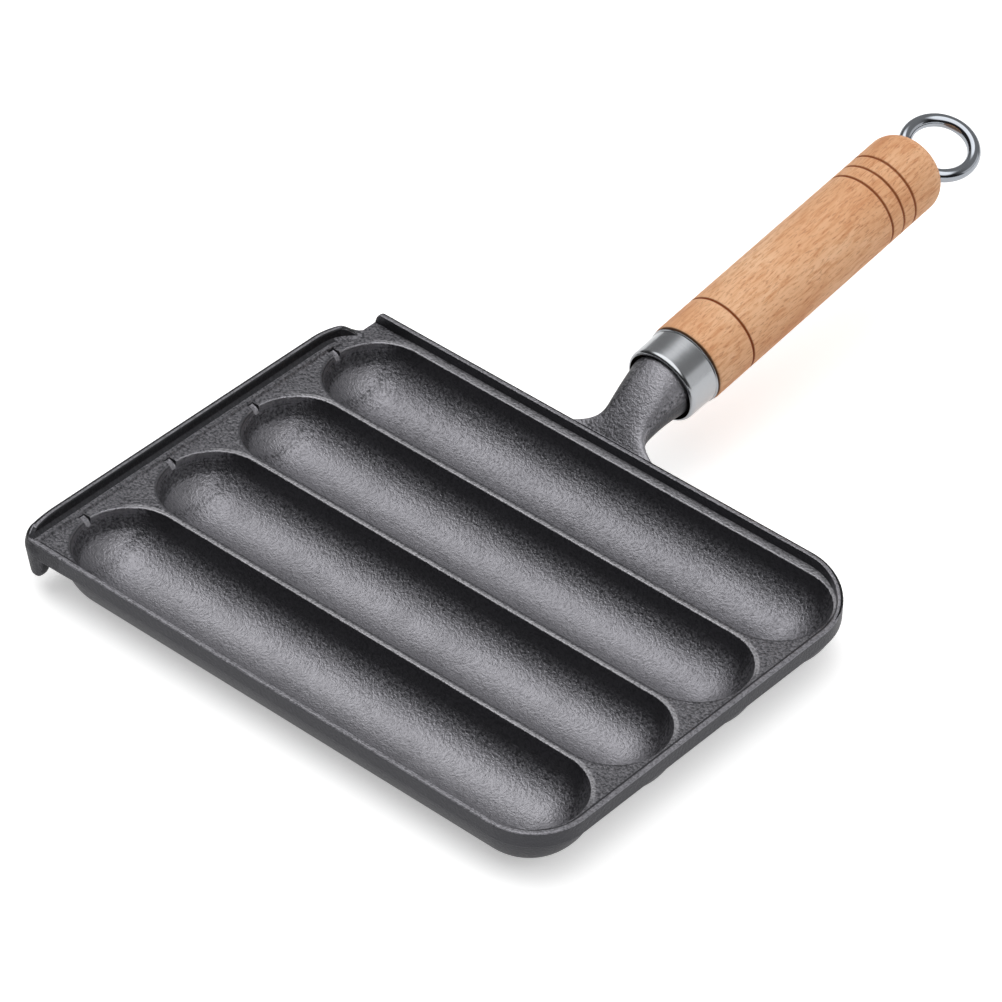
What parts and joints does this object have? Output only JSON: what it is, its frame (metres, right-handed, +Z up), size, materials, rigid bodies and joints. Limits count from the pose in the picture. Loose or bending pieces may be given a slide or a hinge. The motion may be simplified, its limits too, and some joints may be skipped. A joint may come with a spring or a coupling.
{
  "type": "hot dog mould",
  "caption": "Cast-iron mould plate with round-bottomed sausage troughs and a hooked side lip, carried by a turned wooden handle with a steel ferrule and a hanging eye.",
  "frame": {"origin": "middle of the bounding box, on the surface that the mould stands on", "axes": "+X along the troughs, with the hooked lip on the -X side; +Y towards the handle; +Z up"},
  "size_m": [0.2022, 0.3214, 0.0605],
  "materials": {
    "cast_iron": "sand-cast, lightly oiled",
    "ferrule_steel": "polished sheet",
    "grip_wood": "turned, bare, with burnt grooves",
    "eye_chrome": "polished"
  },
  "bodies": {
    "root": {"pan_casting": "cast_iron", "ferrule": "ferrule_steel", "wooden_grip": "grip_wood", "eye_rod": "eye_chrome"}
  },
  "joints": []
}
